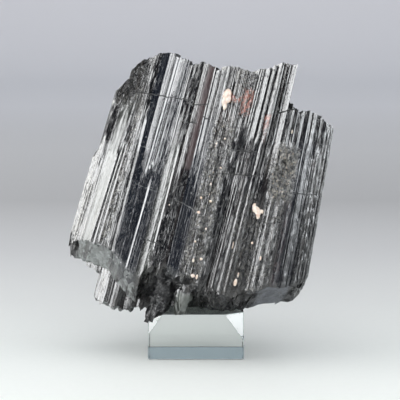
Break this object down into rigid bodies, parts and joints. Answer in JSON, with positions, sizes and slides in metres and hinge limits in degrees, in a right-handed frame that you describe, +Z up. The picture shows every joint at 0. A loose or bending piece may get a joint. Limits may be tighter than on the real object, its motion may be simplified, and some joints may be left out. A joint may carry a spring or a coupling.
{
  "type": "tourmaline crystal on an acrylic display block",
  "caption": "Stout bundle of striated black tourmaline prisms standing tilted on a small clear acrylic display block.",
  "frame": {"origin": "middle of the acrylic block's underside, on the surface it stands on", "axes": "+Z up, +X to the viewer's right, +Y away from the viewer; the crystal's long axis leans 13 degrees towards +X and 8 degrees towards +Y"},
  "size_m": [0.0845, 0.0497, 0.0954],
  "materials": {
    "black_tourmaline": "glossy black, finely striated along the prisms, dull on broken ends, with small cream feldspar grains and rusty stains",
    "clear_acrylic": "clear polished acrylic"
  },
  "bodies": {
    "root": {"tourmaline_crystal": "black_tourmaline", "acrylic_block": "clear_acrylic"}
  },
  "joints": []
}
